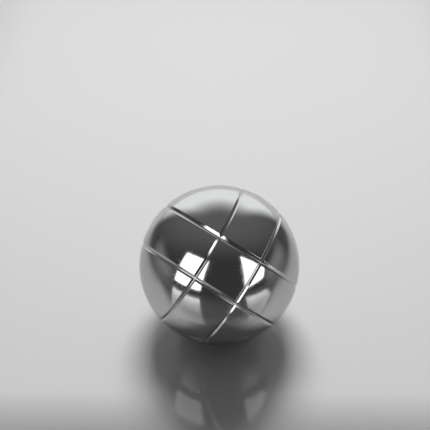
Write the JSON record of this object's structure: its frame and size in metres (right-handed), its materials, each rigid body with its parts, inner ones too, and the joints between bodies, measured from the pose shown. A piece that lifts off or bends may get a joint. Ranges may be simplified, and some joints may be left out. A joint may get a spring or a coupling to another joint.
{
  "type": "petanque boule",
  "caption": "Chromed steel petanque boule with crossing pairs of turned ring grooves, welded from pressed half shells round a mortar core; thrown at a small target ball.",
  "frame": {"origin": "centre of the ball", "axes": "+Z along the common axis of the half shells, square to the plane of the weld, and up as the ball lies in the picture; the rings lean to it by their own angles"},
  "size_m": [0.073, 0.073, 0.073],
  "materials": {
    "chromed_steel": "polished",
    "cement_mortar": "matte"
  },
  "bodies": {
    "root": {"upper_shell": "chromed_steel", "lower_shell": "chromed_steel", "equator_weld": "chromed_steel", "upper_core": "cement_mortar", "lower_core": "cement_mortar"}
  },
  "joints": []
}
